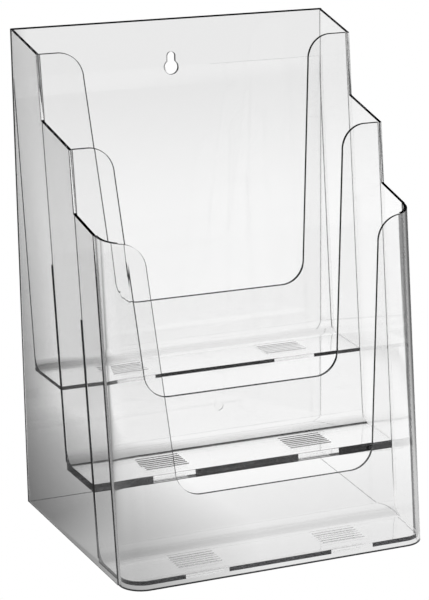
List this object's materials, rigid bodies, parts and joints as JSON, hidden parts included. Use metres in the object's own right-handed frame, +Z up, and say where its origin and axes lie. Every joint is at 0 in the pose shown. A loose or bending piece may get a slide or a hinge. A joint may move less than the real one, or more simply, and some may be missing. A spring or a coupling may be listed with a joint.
{
  "type": "three-tier leaflet rack",
  "caption": "Clear plastic leaflet rack with stepped upright pockets, rounded finger cut-outs, coved ribbed floors and a keyhole in its rear panel.",
  "frame": {"origin": "middle of the footprint on the surface it stands on", "axes": "+Z up, +Y towards the rear panel, +X to the right seen from the front"},
  "size_m": [0.232, 0.1886, 0.34],
  "materials": {
    "clear_plastic": "polished crystal-clear, colourless"
  },
  "bodies": {
    "root": {"rear_panel": "clear_plastic", "left_side_panel": "clear_plastic", "right_side_panel": "clear_plastic", "front_panel": "clear_plastic", "back_wall": "clear_plastic", "rear_divider": "clear_plastic", "middle_divider": "clear_plastic", "rear_floor": "clear_plastic", "middle_floor": "clear_plastic", "front_floor": "clear_plastic"}
  },
  "joints": []
}
